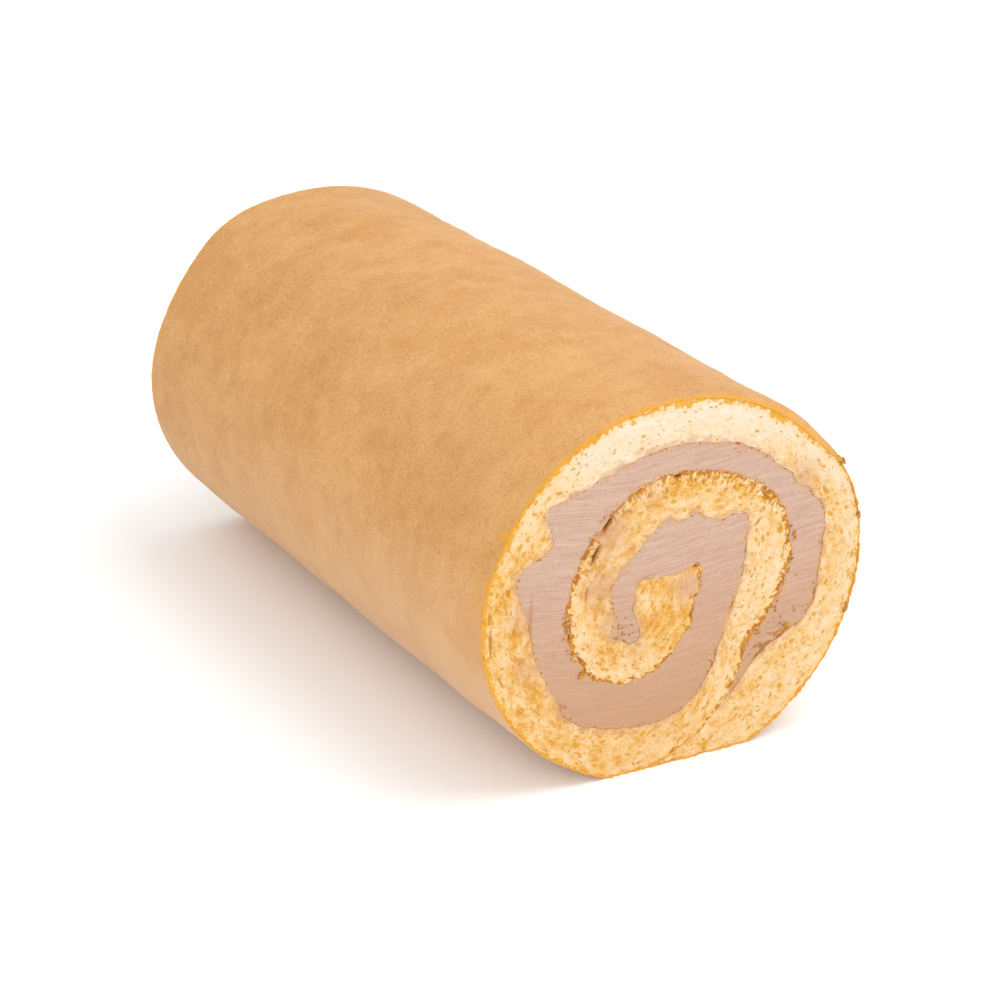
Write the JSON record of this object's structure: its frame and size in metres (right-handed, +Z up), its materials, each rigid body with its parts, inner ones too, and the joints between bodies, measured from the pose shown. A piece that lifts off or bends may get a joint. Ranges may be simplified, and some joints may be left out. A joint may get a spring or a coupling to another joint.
{
  "type": "swiss roll cake",
  "caption": "Swiss roll cake: a sponge sheet with a browned outside, spread with cream, rolled into a spiral and cut square at its ends, standing on a small flat spot.",
  "frame": {"origin": "under the middle of the roll, on the surface that it rests on", "axes": "+Z up; Y along the roll, with the front cut face at -Y; X across it"},
  "size_m": [0.097, 0.178, 0.0866],
  "materials": {
    "sponge": "baked sponge: matt tan browned outside with a fine grain, pale yellow porous crumb at the cuts",
    "cream": "pale pinkish brown buttercream, smooth, with faint knife streaks at the cuts"
  },
  "bodies": {
    "root": {"sponge_sheet": "sponge", "cream_filling": "cream"}
  },
  "joints": []
}
